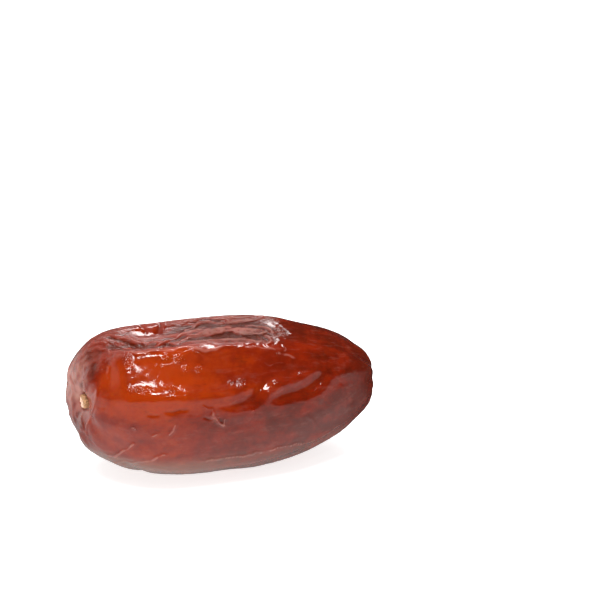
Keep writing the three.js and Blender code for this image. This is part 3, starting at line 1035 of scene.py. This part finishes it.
CAMERA_AZIMUTH = -13
CAMERA_ELEVATION = 24
CAMERA_DISTANCE = 350
PHOTO_PIXELS = 600
PHOTO_WIDTH = 91  # width of the photograph's frame at the fruit
MIDDLE_PIXEL = (221.7, 390)  # where the photograph shows the fruit's middle
AIM_HEIGHT = 10.9
SENSOR = 36
CLIP_START = 10


def direction(azimuth, elevation):
    """Unit vector towards a place in the room. Azimuth 0 is at -Y and 90 is at +X."""
    azimuth, elevation = math.radians(azimuth), math.radians(elevation)
    return Vector((
        math.sin(azimuth) * math.cos(elevation),
        -math.cos(azimuth) * math.cos(elevation),
        math.sin(elevation),
    ))


def facing(towards):
    """The turn that makes a camera or a lamp face a way."""
    return towards.to_track_quat("-Z", "Y").to_euler()


def add_camera():
    forward = -direction(CAMERA_AZIMUTH, CAMERA_ELEVATION)
    right = forward.cross(Vector((0, 0, 1))).normalized()
    up = right.cross(forward)
    pixel = PHOTO_WIDTH / PHOTO_PIXELS
    aim = Vector((0, 0, AIM_HEIGHT))
    aim += right * (PHOTO_PIXELS / 2 - MIDDLE_PIXEL[0]) * pixel
    aim += up * (MIDDLE_PIXEL[1] - PHOTO_PIXELS / 2) * pixel
    camera = link(bpy.data.objects.new("camera", bpy.data.cameras.new("camera")))
    camera.location = (aim - forward * CAMERA_DISTANCE) * MM
    camera.rotation_euler = facing(forward)
    camera.data.sensor_width = SENSOR
    camera.data.lens = SENSOR * CAMERA_DISTANCE / PHOTO_WIDTH
    camera.data.clip_start = CLIP_START * MM
    bpy.context.scene.camera = camera


TABLE_REACH = 6  # metres
TABLE_WHITE = (0.72, 0.72, 0.72, 1)
TABLE_GLOW = 0.75  # keeps it as white as in the photograph


def add_table():
    mesh = bpy.data.meshes.new("table")
    corners = [(-1, -1), (1, -1), (1, 1), (-1, 1)]
    mesh.from_pydata(
        [(x * TABLE_REACH, y * TABLE_REACH, 0) for x, y in corners], [], [(0, 1, 2, 3)]
    )
    mesh.materials.append(Material("table").finish(
        Base_Color=TABLE_WHITE,
        Roughness=0.6,
        Specular_IOR_Level=0.1,
        Emission_Color=(1, 1, 1, 1),
        Emission_Strength=TABLE_GLOW,
    ))
    table = link(bpy.data.objects.new("table", mesh))
    table.visible_glossy = False


# Soft boxes: name, azimuth and elevation, width and height in metres, and radiance
LAMPS = [
    ("window", (162.5, 46.5), (0.07, 0.24), 15),
    ("spot left", (-15, 71), (0.12, 0.12), 30),
    ("spot middle", (8, 52), (0.045, 0.045), 18),
    ("spot right", (47, 79), (0.04, 0.04), 24),
]
LAMP_DISTANCE = 0.6  # metres


def add_lamp(name, place, size, radiance):
    """A soft box that faces the fruit."""
    lamp = bpy.data.lights.new(name, "AREA")
    lamp.shape = "RECTANGLE"
    lamp.size, lamp.size_y = size
    lamp.energy = radiance * math.pi * size[0] * size[1]
    box = link(bpy.data.objects.new(name, lamp))
    towards = direction(*place)
    box.location = towards * LAMP_DISTANCE
    box.rotation_euler = facing(-towards)


SUN_PLACE = (180, 78)
SUN_STRENGTH = 2.8
SUN_WIDTH = 60  # degrees, so that its shadows are soft


def add_sun():
    """The broad light overhead. The skin doesn't mirror it."""
    sun = bpy.data.lights.new("overhead", "SUN")
    sun.energy = SUN_STRENGTH
    sun.angle = math.radians(SUN_WIDTH)
    lamp = link(bpy.data.objects.new("overhead", sun))
    lamp.rotation_euler = facing(-direction(*SUN_PLACE))
    lamp.visible_glossy = False


# What the skin mirrors. A place in the room is azimuth and elevation, and an edge is the
# degrees from a place at which a light starts, and at which it is full.
BACKDROP = (188, 40)  # bright, behind and above the fruit
BACKDROP_EDGE = (43, 30)
BACKDROP_SIDE = 160  # azimuth at which it ends on the right
BACKDROP_LIGHT = 0.75
GLOWS = [  # pale places on the left: place, edge and light
    ((-130, -2), (32, 8), 2.0),
    ((-118, 0), (42, 18), 0.8),
]
DIM_SIDE = (140, 0)  # where the mirrored table is dark
DIM_EDGE = (85, 26)
DIM_LIGHT = 0.05
FRONT = (-15, 0)  # towards this side the table is lighter close to the fruit
FRONT_EDGE = (100, 60)
TABLE_FAR = 1.25  # light of the mirrored table, far off
TABLE_NEAR = 0.8  # how much lighter it is close by
ROOM_LIGHT = 0.04
SOFT_LIGHT = 0.57  # even light from all round on everything that doesn't mirror
SEEN_LIGHT = 1.3  # what the camera sees behind the table

# Edges as the sine of the elevation, for the table and for the part of it that is close by,
# and as the sine of the angle past the backdrop's right end
HORIZON_EDGE = (0.2, -0.04)
NEAR_EDGE = (-0.3, -0.55)
RIGHT_EDGE = (0.06, -0.1)


def spot(nodes, towards, place, edge, start, end):
    """A round light in the room, or a dark place in it."""
    low, high = (math.cos(math.radians(angle)) for angle in edge)
    return nodes.ramp(nodes.dot(towards, direction(*place)), low, high, start, end)


def mirrored_table(nodes, towards):
    """The white table, which is lighter close to the fruit and dark on one side."""
    height = nodes.dot(towards, Vector((0, 0, 1)))
    near = spot(nodes, towards, FRONT, FRONT_EDGE, 0, TABLE_NEAR)
    near = nodes.times(nodes.ramp(height, *NEAR_EDGE), near)
    table = nodes.plus(near, TABLE_FAR)
    table = nodes.times(table, spot(nodes, towards, DIM_SIDE, DIM_EDGE, 1, DIM_LIGHT))
    return nodes.times(table, nodes.ramp(height, *HORIZON_EDGE))


def mirrored_light(nodes, towards):
    """The light that the skin mirrors from each side of the room."""
    past_end = nodes.dot(towards, direction(BACKDROP_SIDE - 90, 0))
    backdrop = spot(nodes, towards, BACKDROP, BACKDROP_EDGE, 0, BACKDROP_LIGHT)
    light = nodes.times(backdrop, nodes.ramp(past_end, *RIGHT_EDGE))
    for place, edge, strength in GLOWS:
        light = nodes.most(light, spot(nodes, towards, place, edge, ROOM_LIGHT, strength))
    return nodes.most(light, mirrored_table(nodes, towards))


def add_world():
    world = bpy.data.worlds.new("room")
    bpy.context.scene.world = world
    world.use_nodes = True
    nodes = Nodes(world.node_tree)
    nodes.tree.nodes.clear()
    mirrored = mirrored_light(nodes, nodes.add("TexCoord", {}, "Generated"))
    glossy = nodes.add("LightPath", {}, "Is Glossy Ray")
    seen = nodes.add("LightPath", {}, "Is Camera Ray")
    light = nodes.ramp(glossy, 0, 1, SOFT_LIGHT, 0)
    light = nodes.plus(light, nodes.times(glossy, mirrored))
    light = nodes.most(light, nodes.times(seen, SEEN_LIGHT))
    background = nodes.add("Background", {"Strength": light})
    nodes.add("OutputWorld", {"Surface": background}, None)


add_camera()
make_skin()
make_stub()
add_table()
add_world()
add_sun()
for lamp in LAMPS:
    add_lamp(*lamp)
bpy.context.scene.view_settings.view_transform = "Standard"
